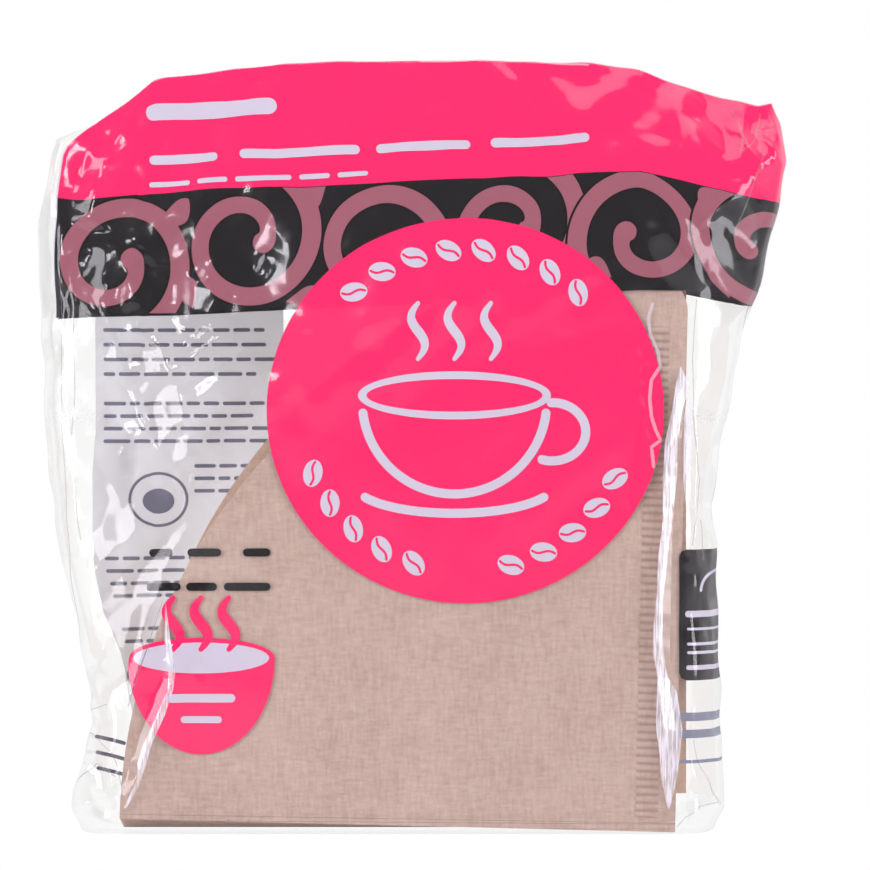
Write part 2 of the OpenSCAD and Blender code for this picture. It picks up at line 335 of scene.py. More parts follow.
def pucker(front, back):
    """Lets the film find its folds: it grows a little, and only the filters inside hold it off.
    The cloth works ten times larger than life, which suits its solver."""
    size = 0.01
    frames = 30
    farthest = 3.0
    chance = np.random.default_rng(7)
    points = tube_points(front, back)
    faces = wall_faces(film_rows, film_cols)
    film = mesh_object("film_cloth", points * size, faces)
    normals = np.empty(len(points) * 3, np.float32)
    film.data.vertices.foreach_get("normal", normals)
    normals = normals.reshape(-1, 3)
    past = np.maximum(from_tip(points[:, 0], points[:, 2], tip) - filter_r, points[:, 0] - seam_x)
    slack = np.clip((past + 12) / 24, 0, 1)
    swell = ripple(points, chance, 24, 9, 30) * (0.06 + 0.3 * slack)
    seeds = points + normals * swell[:, None]
    least = np.minimum(np.abs(points[:, 1]), 0.5)
    seeds[:, 1] = np.sign(points[:, 1]) * np.maximum(np.abs(seeds[:, 1]), least)
    film.data.vertices.foreach_set("co", (seeds * size).ravel())
    held = film.vertex_groups.new(name="held")
    loose = film.vertex_groups.new(name="loose")
    around = 2 * film_cols
    for i in range(around):
        held.add([i, film_rows * around + i], 1.0, "REPLACE")
    for j in range(film_rows):
        held.add([j * around, j * around + film_cols], 0.8, "REPLACE")
    for i, share in enumerate(slack):
        loose.add([i], float(share), "REPLACE")
    angles = np.linspace(np.pi / 2, np.pi, 40)
    outline = [(seam_x, 0.3), (seam_x, filter_r + slip[1])]
    outline += [tuple(tip + slip + filter_r * np.array([np.cos(a), np.sin(a)])) for a in angles[:26]]
    outline += [tuple(tip + (filter_r + 0.3) * np.array([np.cos(a), np.sin(a)])) for a in angles[26:]]
    outline += [(tip[0] - filter_r, 0.3)]
    half = bag_half - 0.45
    count = len(outline)
    walls = [(x, y, z) for y in (-half, half) for x, z in outline]
    block_faces = [tuple(range(count)), tuple(range(2 * count - 1, count - 1, -1))]
    block_faces += [(i, i + count, (i + 1) % count + count, (i + 1) % count) for i in range(count)]
    block = mesh_object("stack_block", np.array(walls) * size, block_faces)
    sheet = mesh_object("middle_sheet", np.array(
        [(-120, 0, -5), (120, 0, -5), (120, 0, 200), (-120, 0, 200)]) * size, [(0, 1, 2, 3)])
    for solid, clearance in ((block, 0.001), (sheet, 0.002)):
        solid.modifiers.new("Collision", "COLLISION")
        solid.collision.thickness_outer = clearance
        solid.collision.cloth_friction = 5
        solid.collision.use_culling = solid is block
    cloth = film.modifiers.new("Cloth", "CLOTH")
    rules = cloth.settings
    rules.quality = 8
    rules.mass = 0.05
    rules.tension_stiffness = rules.compression_stiffness = 80
    rules.shear_stiffness = 40
    rules.bending_stiffness = 0.8
    rules.air_damping = 2
    rules.vertex_group_mass = "held"
    rules.vertex_group_shrink = "loose"
    rules.shrink_min, rules.shrink_max = -0.003, -0.022
    rules.effector_weights.gravity = 0
    cloth.collision_settings.distance_min = 0.002
    cloth.collision_settings.use_collision = True
    scene = bpy.context.scene
    scene.frame_start, scene.frame_end = 1, frames
    cloth.point_cache.frame_start, cloth.point_cache.frame_end = 1, frames
    for step in range(1, frames + 1):
        scene.frame_set(step)
    graph = bpy.context.evaluated_depsgraph_get()
    moved = film.evaluated_get(graph).to_mesh()
    found = np.empty(len(moved.vertices) * 3, np.float32)
    moved.vertices.foreach_get("co", found)
    found = found.reshape(-1, 3) / size
    scene.frame_set(1)
    for piece in (film, block, sheet):
        bpy.data.objects.remove(piece)
    shift = found - points
    beside = nearest_on(points[:, 0], points[:, 2], pleat)[0]
    calm = np.where(points[:, 1] < 0, np.clip((beside - 4) / 8, 0.02, 1), 1)
    shift[:, 1] *= (0.2 + 0.8 * slack) * calm
    reach = np.linalg.norm(shift, axis=1, keepdims=True)
    shift *= np.minimum(1, farthest / np.maximum(reach, 1e-6))
    return sheets_of(points + shift, film_rows, film_cols)


def finer(grid, times):
    """The same sheet with more points, on a smooth curve through the first ones, along both ways."""
    for axis in (0, 1):
        count = grid.shape[axis] - 1
        steps = np.linspace(0, count, count * times + 1)
        low = np.minimum(steps.astype(int), count - 1)
        share = (steps - low).reshape((-1, 1, 1) if axis == 0 else (1, -1, 1))
        a, b, c, d = (np.take(grid, np.clip(low + k, 0, count), axis) for k in (-1, 0, 1, 2))
        grid = 0.5 * (2 * b + (c - a) * share + (2 * a - 5 * b + 4 * c - d) * share ** 2
                      + (3 * b - a - 3 * c + d) * share ** 3)
    return grid


front_sheet, back_sheet = flat_film()
front_sheet, back_sheet = pucker(front_sheet, back_sheet)
front_sheet, back_sheet = finer(front_sheet, fine), finer(back_sheet, fine)
film_cols, film_rows = film_cols * fine, film_rows * fine


# Folds of the front: their path, height, and the widths of their slopes to the left and the right
front_folds = [
    (pleat, 1.95, 7, 3.1),
    ([(66.6, 99), (66.2, 84), (66, 62)], 1.5, 2.6, 2.7),
    ([(-56.5, 46), (-55.5, 36), (-59, 27.8), (-63.6, 15), (-67.1, 6.8)], 1.6, 2.9, 7),
    ([(-61.8, 45.4), (-66, 30.2)], 0.6, 1.3, 5),
    ([(-61, 177.5), (-67, 167), (-72.5, 158), (-75, 151), (-76, 142)], 1.3, 5, 14),
    ([(57.5, 163), (55.8, 155), (57.5, 148), (59.8, 142), (68.2, 127.7)], 0.9, 7, 5),
    ([(65, 168), (64.4, 160), (65.4, 153.5)], 0.7, 2.5, 7),
    ([(76, 167), (79, 162), (80.5, 158), (84, 155)], 0.9, 3, 3),
    ([(83, 167), (85, 160), (88, 154)], 0.9, 3, 3),
    ([(-57.5, 107.5), (-50, 113), (-41.4, 119)], 1.5, 3, 6),
    ([(-70.6, 113), (-64.8, 105)], 0.8, 2, 4),
    ([(-72, 141), (-66, 131), (-58, 112), (-50, 92)], 0.8, 5, 4),
    ([(-83, 5), (-73, 8.5), (-67.2, 8)], 1.2, 1.8, 1.8),
    ([(-80, 12.6), (-75.3, 17), (-70, 19.5)], 1.2, 1.8, 1.8),
    ([(-76.7, 16.3), (-74, 8)], 1.2, 1.6, 1.6),
    ([(-80, 19), (-76, 10), (-79, 3)], 1.0, 1.5, 1.5),
    ([(-74, 20), (-71, 13), (-69, 3)], 1.0, 1.5, 1.5),
    ([(53.3, 0.8), (62, 3.5), (73.1, 6.8)], 0.8, 3, 3),
    ([(-74.2, 127), (-68.3, 110.8), (-60.1, 88.6)], 0.3, 0.9, 0.9),
    ([(-33.2, 136.5), (-37, 130), (-41.4, 124.8)], 0.35, 0.9, 1.2),
    ([(53.7, 118), (54.2, 107), (55, 96), (56.5, 88)], 0.3, 0.9, 1.0),
    ([(79.4, 170), (77.8, 164), (80.6, 157.5)], 0.35, 0.9, 1.0),
    ([(84, 168), (83, 163), (86, 158)], 0.35, 0.9, 1.0),
    ([(70, 120), (69, 92), (68.5, 66)], 0.4, 1.4, 1.4),
    ([(-83, 150), (-82.5, 120), (-80.5, 88), (-77, 60)], 0.5, 2.2, 1.6),
    ([(-80, 134), (-79, 104), (-78.4, 70)], 0.3, 1.2, 1.2),
]
back_folds = [
    ([(50, 150), (20, 128), (-30, 118)], 1.2, 6, 6),
    ([(-60, 170), (-72, 140), (-78, 110)], 1.2, 4, 9),
    ([(62, 118), (60, 80), (61, 30)], 1.4, 7, 3.5),
]
# Where the film is crumpled most: centre, reach and share of the crumples' full height
front_spots = [(-76.5, 160, 14, 1.0), (-68, 134, 20, 0.9), (-42.6, 136.5, 13, 0.7), (-61, 104, 22, 0.7),
               (-68, 64, 16, 0.5), (-74, 12.6, 17, 0.9), (-52, 174, 10, 0.5), (24, 150, 8, 0.8),
               (77.8, 164.6, 12, 0.3), (67.3, 136.5, 12, 0.3), (68, 36, 16, 0.5), (67.3, 5.6, 12, 0.6)]
back_spots = [(-70, 150, 24, 0.8), (-66, 90, 24, 0.6), (70, 150, 22, 0.8), (0, 150, 18, 0.5),
              (66, 40, 20, 0.5), (-72, 20, 18, 0.8)]


def crumple(sheet, flat, folds, spots, face, seed):
    """Adds folds and fine sharp creases to one side of the bag, and keeps it off the filters."""
    chance = np.random.default_rng(seed)
    x, z = flat[..., 0], flat[..., 2]
    places = flat.reshape(-1, 3)
    corner = tip if face < 0 else tip + slip
    past = np.maximum(from_tip(x, z, corner) - filter_r, x - corner[0])
    slack = np.clip((past + 6) / 18, 0, 1)
    strength = np.full(x.shape, 0.12)
    for spot_x, spot_z, reach, share in spots:
        strength = strength + share * np.exp(-((x - spot_x) ** 2 + (z - spot_z) ** 2) / reach ** 2)
    strength = np.minimum(strength, 1) * (0.12 + 0.88 * slack) * np.clip(np.abs(flat[..., 1]) / 4, 0, 1)

    def ridges(count, shortest, longest):
        return 0.45 - np.abs(ripple(places, chance, count, shortest, longest).reshape(x.shape))

    rise = ridges(10, 22, 44) * 0.9 + ridges(14, 8, 17) * 0.3 + ridges(14, 3.6, 7.5) * 0.06
    rise = rise * strength
    jag = ripple(places, chance, 12, 3.5, 11).reshape(x.shape) * 0.25
    if face < 0:
        rise = rise * np.clip((nearest_on(x, z, pleat)[0] - 4) / 8, 0.02, 1)
    for path, height, left, right in folds:
        wander = jag * (0.25 if path is pleat else 1)
        gap, aside, run = nearest_on(x + wander, z + wander, path)
        ends = np.sqrt(np.clip(np.minimum(run, 1 - run) / 0.2, 0, 1))
        rise = rise + height * ends * np.clip(1 - gap / np.where(aside < 0, left, right), 0, 1)
    out = sheet.copy()
    out[..., 1] += face * rise
    over_filters, over_back = 0.28, 0.32
    outermost = np.abs((front_low if face < 0 else rear_high)[1])
    rest = np.where(past < 1.5, outermost + over_filters, over_back)
    rest = np.minimum(rest, np.abs(flat[..., 1]))
    out[..., 1] = face * np.maximum(face * out[..., 1], rest)
    out[:, 0, 1] = sheet[:, 0, 1]
    out[:, -1, 1] = sheet[:, -1, 1]
    return out


flat_front, flat_back = flat_film()
front_sheet = crumple(front_sheet, flat_front, front_folds, front_spots, -1, 3)
back_sheet = crumple(back_sheet, flat_back, back_folds, back_spots, 1, 4)
back_sheet[:, 0], back_sheet[:, -1] = front_sheet[:, 0], front_sheet[:, -1]


def clear_film():
    """Clear film: it reflects like a thin gloss sheet, and a stippled press line crosses its margins."""
    material, wire = new_material("clear_film")
    place = wire.make("TexCoord", 3)
    crinkle = wire.make("TexNoise", Vector=place, Scale=260.0, Detail=2.0)
    bump = wire.make("Bump", Height=crinkle, Strength=0.03, Distance=0.0004)
    shine = wire.make("Fresnel", IOR=1.5, Normal=bump) * 1.1
    shine = wire.make("Math", sets={"operation": "MINIMUM"}, i0=shine, i1=0.2)
    edge = wire.make("LayerWeight", 1, Blend=0.2, Normal=bump)
    x, z = (wire.make("SeparateXYZ", axis, i0=place) for axis in (0, 2))
    line_z, line_half, middle_x, margin_x = 0.0975, 0.0022, -0.0055, 0.0705
    dots = wire.make("TexNoise", Vector=place, Scale=1600.0, Detail=1.0)
    dots = wire.make("ValToRGB", sets={"stops": [(0.52, 0.0), (0.6, 1.0)]}, Fac=dots)
    pressed = z.near(line_z, line_half, 0.0015) * (1 - x.near(middle_x, margin_x, 0.001)) * dots
    clear = wire.make("BsdfTransparent", Color=(0.994, 0.996, 0.992))
    dull = wire.make("BsdfTransparent", Color=(0.96, 0.97, 0.96))
    gloss = wire.make("BsdfGlossy", Color=(0.97, 0.95, 1), Roughness=0.12, Normal=bump)
    veil = wire.make("BsdfDiffuse", Color=(0.9, 0.9, 0.93), Normal=bump)
    through = wire.make("MixShader", i0=edge, i1=clear, i2=dull)
    hazed = wire.make("MixShader", i0=0.006 + pressed * 0.16, i1=through, i2=veil)
    shader = wire.make("MixShader", i0=shine, i1=hazed, i2=gloss)
    wire.make("OutputMaterial", Surface=shader)
    return material


def film_triangles(rows, cols):
    """Triangles of the tube, their diagonals the same way round on both sheets, seen from the front."""
    around = 2 * cols
    j, k = np.meshgrid(np.arange(rows), np.arange(around), indexing="ij")
    a, b = j * around + k, j * around + (k + 1) % around
    c, d = b + around, a + around
    front = np.stack([a, b, d, b, c, d], -1)
    back = np.stack([a, b, c, a, c, d], -1)
    return np.where((k < cols)[..., None], front, back).reshape(-1, 3).tolist()


# The tube's two ends are closed: the flat top, and the square base that the pack stands on
around = 2 * film_cols
faces = film_triangles(film_rows, film_cols)
last = film_rows * around
for start in (0, last):
    for i in range(film_cols):
        a, b = start + i, start + i + 1
        c, d = start + (around - i - 1) % around, start + (around - i) % around
        corners = [a, b, c, d] if start else [d, c, b, a]
        faces.append([p for k, p in enumerate(corners) if p not in corners[:k]])
bag = mesh_object("film_bag", tube_points(front_sheet, back_sheet) * mm, faces)
bag.data.shade_smooth()
bag.data.materials.append(clear_film())
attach(bag, "root")
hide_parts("bag")


# Header and band: flat gravure inks on the inner side of the film, so each field of colour follows its
# folds. A field is drawn flat, cut along the film's own facets and laid just inside the film, and the
# same pink and black run round both sides of the bag. Bars in pale ink cross the header.
ink_depth = 0.05  # Depth of one layer of ink under the film, in millimetres
plain_shares = np.linspace(0, 1, 400)


def film_share(x, z):
    """The shares across and up the film at which a flat place in millimetres lies."""
    v = z / bag_height
    for _ in range(12):
        share = share_across(x, v)
        v = z / top_at(share)
    return np.interp(share, eased(plain_shares), plain_shares) + share - np.clip(share, 0, 1), v


def sheet_normals(sheet, face):
    up = np.gradient(sheet, axis=0)
    across = np.gradient(sheet, axis=1)
    normal = np.cross(across, up) * face
    return normal / np.maximum(np.linalg.norm(normal, axis=2, keepdims=True), 1e-9)


sheets = {"front": (front_sheet, sheet_normals(front_sheet, 1)),
          "back": (back_sheet, sheet_normals(back_sheet, -1))}


def on_film(grid, spots):
    """Values of a grid over the film at these places, even across each of its triangles."""
    low = np.clip(spots.astype(int), 0, (film_cols - 1, film_rows - 1))
    i, j = low.T
    a, b = (spots - low).T[..., None]
    lower = grid[j, i] + (grid[j, i + 1] - grid[j, i]) * a + (grid[j + 1, i] - grid[j, i]) * b
    far = grid[j + 1, i + 1]
    upper = far + (grid[j + 1, i] - far) * (1 - a) + (grid[j, i + 1] - far) * (1 - b)
    return np.where(a + b < 1, lower, upper)


def dense(points, closed=True):
    """The same outline with a point about every millimetre."""
    step = 1.0
    ends = points[1:] + points[:1] if closed else points[1:]
    path = []
    for (x0, z0), (x1, z1) in zip(points, ends):
        count = max(1, int(np.hypot(x1 - x0, z1 - z0) / step))
        path += [(x0 + (x1 - x0) * k / count, z0 + (z1 - z0) * k / count) for k in range(count)]
    return path if closed else path + [points[-1]]


def inside(spots, loops):
    """Whether each place lies inside an odd number of closed loops."""
    starts = np.concatenate(loops)
    ends = np.concatenate([np.roll(loop, -1, 0) for loop in loops])
    rise = ends[:, 1] - starts[:, 1]
    lean = (ends[:, 0] - starts[:, 0]) / np.where(rise == 0, 1, rise)
    count = np.zeros(len(spots), int)
    for block in np.array_split(np.arange(len(spots)), 1 + len(spots) * len(starts) // 3000000):
        x, z = spots[block].T[..., None]
        crossed = (starts[:, 1] > z) != (ends[:, 1] > z)
        count[block] = (crossed & (x < starts[:, 0] + (z - starts[:, 1]) * lean)).sum(1)
    return count % 2 == 1


def facet_of(spots):
    """The film's triangle at each place: its column, its row, and 1 for the upper one of a pair."""
    low = np.floor(spots).astype(int)
    return np.concatenate([low, ((spots - low).sum(1) > 1)[:, None]], 1)


def facet_corners(facets):
    i, j, upper = facets.T
    lower_set = np.stack([i, j, i + 1, j, i, j + 1], -1)
    upper_set = np.stack([i + 1, j, i + 1, j + 1, i, j + 1], -1)
    return np.where(upper[:, None] == 1, upper_set, lower_set).reshape(-1, 3, 2).astype(float)


def fill(loops, limits):
    """Triangles that fill the loops within the limits, each on one of the film's own triangles."""
    edges = [np.stack([loop, np.roll(loop, -1, 0)], 1) for loop in loops]
    reach = np.concatenate(loops)
    low, high = reach.min(0) - 1, reach.max(0) + 1
    for limit in limits:
        border = np.stack([limit, np.roll(limit, -1, 0)], 1)
        edges.append(border[((border > low) & (border < high)).all((1, 2))])
    edges = np.concatenate(edges)
    steps = np.linspace(0, 1, 20, endpoint=False)[:, None, None]
    touched = np.zeros((film_cols + 3, film_rows + 3, 2), bool)
    samples = (edges[:, 0] + (edges[:, 1] - edges[:, 0]) * steps).reshape(-1, 2)
    low, high = np.maximum(low, 0), np.minimum(high, (film_cols, film_rows))
    samples = samples[((samples >= 0) & (samples < (film_cols, film_rows))).all(1)]
    touched[tuple(facet_of(samples).T)] = True
    i, j, upper = np.meshgrid(np.arange(int(low[0]), int(high[0])), np.arange(int(low[1]), int(high[1])),
                              (0, 1), indexing="ij")
    facets = np.stack([i, j, upper], -1).reshape(-1, 3)
    crossed = touched[tuple(facets.T)]
    whole = facet_corners(facets[~crossed])
    cells = facet_corners(facets[crossed])
    lines = np.concatenate([edges, *(cells[:, (k, (k + 1) % 3)] for k in range(3))])
    spots, ends = np.unique(np.round(lines.reshape(-1, 2), 4), axis=0, return_inverse=True)
    ends = ends.reshape(-1, 2)
    ends = ends[ends[:, 0] != ends[:, 1]]
    found, _, parts, *_ = delaunay_2d_cdt([Vector(p) for p in spots], ends.tolist(), [], 0, 1e-5, False)
    parts = np.array([tuple(p) for p in found])[np.array(parts)]
    centres = parts.mean(1)
    kept = ((centres > 0) & (centres < (film_cols, film_rows))).all(1)
    parts, centres = parts[kept], centres[kept]
    parts = parts[touched[tuple(facet_of(centres).T)]]
    shapes = np.concatenate([whole, parts])
    kept = inside(shapes.mean(1), loops)
    for limit in limits:
        kept[kept] = inside(shapes[kept].mean(1), [limit])
    return shapes[kept]


def field(name, outlines, layer, ink, side="front", place=None, limits=()):
    """Lays closed outlines, filled where an odd number of them overlap, on one side of the film."""
    def drawn(outline):
        x, z = np.array(outline, float).T
        u, v = film_share(x, z) if place is None else film_share(*place(x, z))
        return np.stack([u * film_cols, v * film_rows], -1)

    edge = 0.2
    right, top = film_cols - edge, film_rows - edge
    film = np.array(dense([(edge, edge), (right, edge), (right, top), (edge, top)]))
    shapes = fill([drawn(outline) for outline in outlines], [film, *(drawn(limit) for limit in limits)])
    u, v = shapes[:, 1] - shapes[:, 0], shapes[:, 2] - shapes[:, 0]
    wrong = (u[:, 0] * v[:, 1] > u[:, 1] * v[:, 0]) != (side == "front")
    shapes[wrong] = shapes[wrong][:, ::-1]
    spots, corners = np.unique(np.round(shapes.reshape(-1, 2), 4), axis=0, return_inverse=True)
    corners = corners.reshape(-1, 3)
    corners = corners[(corners != np.roll(corners, 1, 1)).all(1)]
    sheet, normals = sheets[side]
    facing = on_film(normals, spots)
    piece = mesh_object(name, (on_film(sheet, spots) - facing * ink_depth * layer) * mm, corners.tolist())
    piece.data.shade_smooth()
    piece.data.normals_split_custom_set_from_vertices(
        (facing / np.linalg.norm(facing, axis=1, keepdims=True)).tolist())
    piece.data.materials.append(ink)
    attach(piece, "root")


def printing_ink(name, colour, cover=1.0):
    """Flat ink, a little uneven, that lets some light through where its cover is under 1."""
    material, wire = new_material(name)
    place = wire.make("TexCoord", 3)
    grain = wire.make("TexNoise", Vector=place, Scale=2500.0, Detail=2.0)
    cloud = wire.make("TexNoise", Vector=place, Scale=45.0, Detail=3.0)
    tone = grain * 0.4 + cloud * 0.6
    base = wire.make("ValToRGB", sets={"stops": [(0.3, 0.0), (0.7, 1.0)]}, Fac=tone)
    shade = tuple(c * 0.94 for c in colour)
    shader = wire.make("BsdfPrincipled", Base_Color=base.tint(shade, colour), Roughness=0.5,
                       Specular_IOR_Level=0.08, Alpha=cover)
    wire.make("OutputMaterial", Surface=shader)
    return material


pink = printing_ink("pink_ink", linear(252, 33, 108), 0.985)
black = printing_ink("black_ink", linear(26, 21, 25), 0.985)
mauve = printing_ink("scroll_ink", linear(160, 94, 111))
pale = printing_ink("pale_ink", linear(208, 198, 218))
grey = printing_ink("grey_ink", linear(134, 134, 156))
white = printing_ink("white_ink", linear(230, 227, 240), 0.7)
line_black = printing_ink("line_ink", linear(20, 12, 18))


def arc(x, z, wide, high, start=0, turn=360, step=3):
    """Points along an ellipse round a centre, from a start angle over a turn."""
    count = max(2, int(abs(turn) / step))
    angles = np.radians(start + turn * np.linspace(0, 1, count, endpoint=abs(turn) < 360))
    return [(x + wide * np.cos(t), z + high * np.sin(t)) for t in angles]


def stroke(path, width):
    """Outline of a line of that width along a path, with round ends."""
    path = np.array(path)
    way = np.gradient(path, axis=0)
    way /= np.linalg.norm(way, axis=1, keepdims=True)
    out = np.stack([-way[:, 1], way[:, 0]], 1)
    half = np.broadcast_to(np.asarray(width) / 2, (len(path),))[:, None]
    left, right = path + out * half, path - out * half
    rounds = []
    for point, direction, side, reach in ((path[-1], way[-1], out[-1], half[-1]),
                                          (path[0], -way[0], -out[0], half[0])):
        turns = np.linspace(0, np.pi, 9)[1:-1]
        rounds.append([point + reach * (side * np.cos(t) + direction * np.sin(t)) for t in turns])
    return [tuple(p) for p in [*left, *rounds[0], *right[::-1], *rounds[1]]]


def bar(x0, x1, z0, z1, width):
    return stroke(dense([(x0, z0), (x1, z1)], closed=False), width)


def wave(x, z, height, swing, width):
    """A wisp of steam that stands on a place and rises in one S-bend."""
    share = np.linspace(0, 1, 30)
    path = np.stack([x + swing * np.sin(share * 2 * np.pi), z + share * height], 1)
    return stroke(path, width * (0.35 + 0.65 * np.sin(np.pi * np.clip(share * 0.9 + 0.05, 0, 1))))


# The lower edges of the header and of the band, across the bag
header_foot = [(-84.2, 149.6), (-77.7, 148.8), (-65.3, 150.2), (-42.6, 151.4), (-10.1, 152.4), (5.3, 153.3),
               (37.6, 154.5), (53.3, 155.2), (61.2, 153.4), (70.1, 151.3), (79.2, 149.2), (92, 147.4)]
band_foot = [(-84.2, 121.0), (-75.6, 121.6), (-56.2, 122.0), (-31.6, 123.2), (-22.5, 123.7), (53.3, 127.1),
             (65.7, 127.0), (73.4, 125.3), (79.7, 123.9), (92, 121.5)]
band_height = 28.0


def on_band(x, s):
    """From a place along the band and its height in the flat print to where it lies."""
    low, high = along(band_foot, x), along(header_foot, x)
    return x, low + (high - low) * s / band_height


header_edge = [(-84.2, 149.6), (-82.9, 159.5), (-81.6, 162), (-66, 174), (-61.3, 178.5), (-61, 190)]
header = dense(header_foot + [(92, 190)] + header_edge[:0:-1])
band = dense([(-84.2, 0), (92, 0), (92, band_height + 0.3), (-84.2, band_height + 0.3)])
margin_line = stroke(dense([(-84.3, 121), *header_edge[:3]], closed=False), 0.5)
for side in ("front", "back"):
    field(f"header_print_{side}", [header], 3.0, pink, side)
    field(f"band_print_{side}", [band], 3.2, black, side, on_band)
    field(f"margin_print_{side}", [margin_line], 2.6, white, side)

# Pale bars in three rows that rise to the right, as the whole print does
row_rise = 0.047
header_bars = [bar(-61, -34, 169.6, 171.0, 4.0)]
for x0, x1 in ((-61, -47), (-39.5, -13.5), (-7.5, 12.5), (19.5, 40.5)):
    header_bars.append(bar(x0, x1, 161.2 + x0 * row_rise, 161.2 + x1 * row_rise, 2.2))
for x0, x1 in ((-61.5, -53), (-50, -44), (-41, -29), (-26, -20), (-17, -11)):
    header_bars.append(bar(x0, x1, 155.4 + x0 * row_rise, 155.4 + x1 * row_rise, 1.2))
field("header_bars_print", header_bars, 0.8, pale)


# Scrollwork: curls and leaves in mauve ink on the band, each curl with a thin black edge. They are
# drawn along a flat band and then bent with it, and cut off at its upper and lower edges.
def scroll(x, s, start, turn):
    """Path and widths of one curl of the scrollwork: a wide bow that winds in to a knob."""
    outer, inner, width = 17.0, 4.2, 4.6
    share = np.linspace(0, 1, 90)
    angle = np.radians(start + turn * share)
    reach = inner + (outer - inner) * (1 - share) ** 0.85
    path = np.stack([x + reach * np.cos(angle), s + reach * np.sin(angle)], 1)
    breadth = width * (1 - 0.22 * share) + np.exp(-((share - 1) / 0.045) ** 2) * 1.5
    return path, breadth


def leaf(x, s, angle, length):
    """A plump pointed leaf."""
    share = np.linspace(0, 1, 16)
    half = length * 0.3 * np.sin(np.pi * share ** 0.75)
    way = np.array([np.cos(np.radians(angle)), np.sin(np.radians(angle))])
    across = np.array([-way[1], way[0]])
    bend = length * 0.16 * np.sin(np.pi * share)
    spine = np.array([x, s]) + way * length * share[:, None] + across * bend[:, None]
    upper, lower = spine + across * half[:, None], spine - across * half[:, None]
    return [tuple(p) for p in [*upper, *lower[-2:0:-1]]]


# Centre, start angle and turn of each curl, and the place, angle and length of each leaf
curls = [(-70, 12, -60, 430), (-39, 16, 60, -430), (-8, 12, -60, 430), (23, 16, 60, -430),
         (54, 13, 240, -430), (83, 15, 120, 430)]
leaves = [(-56.5, 8, -55, 9), (-52.5, 26, 215, 9), (-24, 22, 60, 8), (-22, 4, 200, 8), (39, 6, -20, 8),
          (69.5, 6.5, -50, 8), (67, 23, 35, 7)]
in_band = dense([(-84.2, 0.1), (92, 0.1), (92, 27.8), (-84.2, 27.8)])
for k, (x, s, start, turn) in enumerate(curls):
    path, breadth = scroll(x, s, start, turn)
    field(f"curl_edge_print_{k + 1}", [stroke(path, breadth + 1.1)], 2.7 - 0.1 * k, line_black,
          place=on_band, limits=[in_band])
    field(f"curl_print_{k + 1}", [stroke(path, breadth)], 2.65 - 0.1 * k, mauve,
          place=on_band, limits=[in_band])
for k, spot in enumerate(leaves):
    field(f"leaf_print_{k + 1}", [leaf(*spot)], 2.0, mauve, place=on_band, limits=[in_band])


# Round badge: a disc of the header's pink over the band and the filters, with a cup and its steam in
# pale ink, and a ring of coffee beans round them.
disc_x, disc_z, disc_wide, disc_high = 12.4, 99.1, 46.3, 45.0
field("disc_print", [arc(disc_x, disc_z, disc_wide, disc_high, step=1.5)], 1.5, pink)
rim = (disc_x - 2.5, disc_z + 3.5, 22.5, 5.6)
field("cup_print", [arc(*rim), arc(rim[0], rim[1], rim[2] - 2.0, rim[3] - 1.8)], 0.8, pale)
cup_lines = [stroke(arc(rim[0], rim[1] - 1.5, rim[2] - 1.0, 21.5, 187, 166), 2.1),
             stroke(arc(rim[0], rim[1] - 21, 23, 6.5, 205, 130), 2.1)]
cup_lines += [wave(rim[0] + 8.5 * k, rim[1] + 8.5, 13, 1.6, 2.2) for k in (-1, 0, 1)]
field("cup_lines_print", cup_lines, 0.7, pale)
field("cup_handle_print", [stroke(arc(rim[0] + 22.8, rim[1] - 8.5, 7.8, 6.8, -108, 200), 2.1)], 0.6,
      pale)


def bean(x, z, angle):
    """Outline of a coffee bean and of the slit along its middle."""
    length = 6.4
    turn = np.radians(angle)
    way, across = np.array([np.cos(turn), np.sin(turn)]), np.array([-np.sin(turn), np.cos(turn)])
    share = np.linspace(-1, 1, 15)
    slit = [np.array([x, z]) + way * length * 0.42 * t + across * length * 0.06 * np.sin(np.pi * t)
            for t in share]
    rounded = arc(0, 0, length / 2, length * 0.35, step=10)
    return [[tuple(np.array([x, z]) + way * p + across * q) for p, q in rounded], stroke(slit, length * 0.09)]


beans = []
ring_wide, ring_high, bean_step = 38.6, 37.5, 12.2
for start, final in ((47, 134), (203, 254), (286, 337)):
    for angle in np.arange(start, final, bean_step):
        spot = arc(disc_x, disc_z, ring_wide, ring_high, angle, 1, 1)[0]
        beans += bean(*spot, angle + 55)
field("beans_print", beans, 0.8, pale)


# Bowl: a small emblem of a steaming bowl in the same pink and pale inks, low on the left, with two
# rows of black dashes over it.
bowl_x, bowl_z, bowl_wide, bowl_deep = -49.3, 41.4, 17.2, 22.5
body = arc(bowl_x, bowl_z, bowl_wide, bowl_deep, 180, 180)
field("bowl_print", [arc(bowl_x, bowl_z, bowl_wide, 4.7, 180, -180) + body[::-1][1:-1]], 1.5,
      pink)
field("bowl_inside_print", [arc(bowl_x, bowl_z, 15.9, 3.6)], 0.8, pale)
field("bowl_steam_print", [wave(bowl_x + 6.5 * k, bowl_z + 2, 12, 1.6, 2.6) for k in (-1, 0, 1)],
      0.6, pink)
field("bowl_bars_print", [bar(bowl_x - 7, bowl_x + 7, 32, 32, 2.0), bar(bowl_x - 4, bowl_x + 4, 27, 27, 1.6)],
      0.8, pale)
dashes = [(-61, -57, 66), (-51.5, -45.5, 66), (-38.5, -34, 66),
          (-61.5, -55, 58), (-51.8, -46.5, 58), (-43, -34, 58)]
field("dark_bars_print", [bar(x0, x1, z, z, 1.9) for x0, x1, z in dashes], 1.2, line_black)


